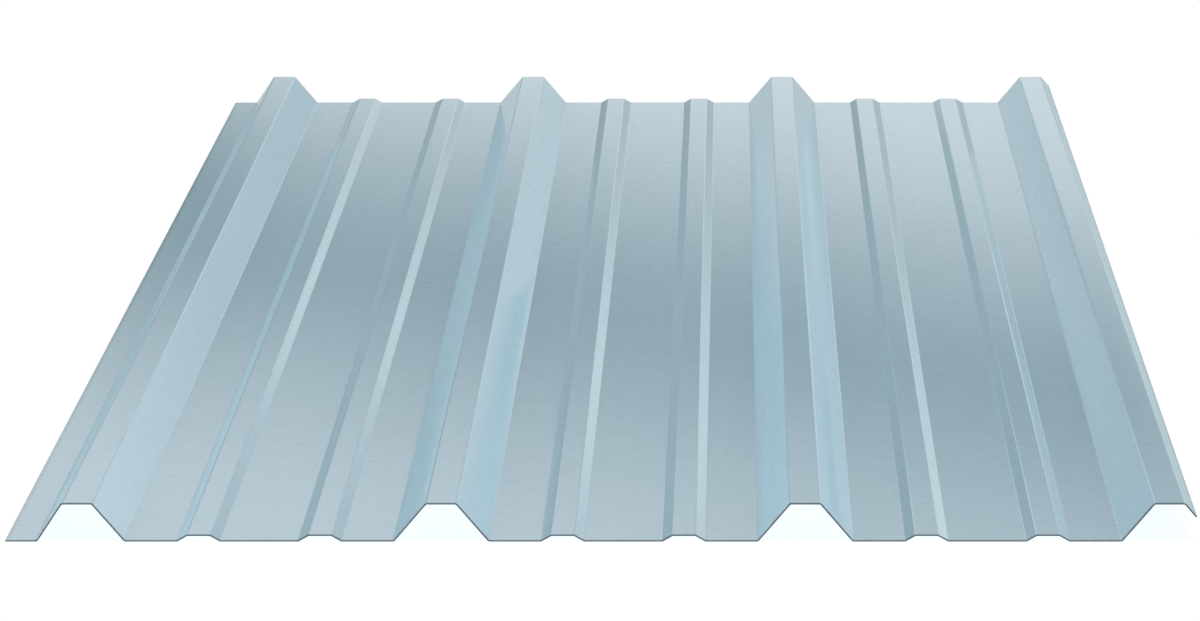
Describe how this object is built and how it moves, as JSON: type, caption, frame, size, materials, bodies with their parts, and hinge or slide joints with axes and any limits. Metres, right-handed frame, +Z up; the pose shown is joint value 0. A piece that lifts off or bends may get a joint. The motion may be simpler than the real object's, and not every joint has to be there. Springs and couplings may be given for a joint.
{
  "type": "corrugated metal sheet",
  "caption": "Roll-formed steel roof and wall sheet with trapezoidal main ribs, low stiffening ribs in its flat pans, a bearing leg along one side and an overlapping lip along the other.",
  "frame": {"origin": "on the plane that the undersides of the flat pans lie on, under the middle of the sheet's width and length", "axes": "+X across the ribs, from the bearing leg to the overlapping lip; +Y along the ribs; +Z up, out of the weather side"},
  "size_m": [0.9974, 2.4384, 0.0329],
  "materials": {
    "coated_steel": "satin"
  },
  "bodies": {
    "root": {"corrugated_sheet": "coated_steel"}
  },
  "joints": []
}
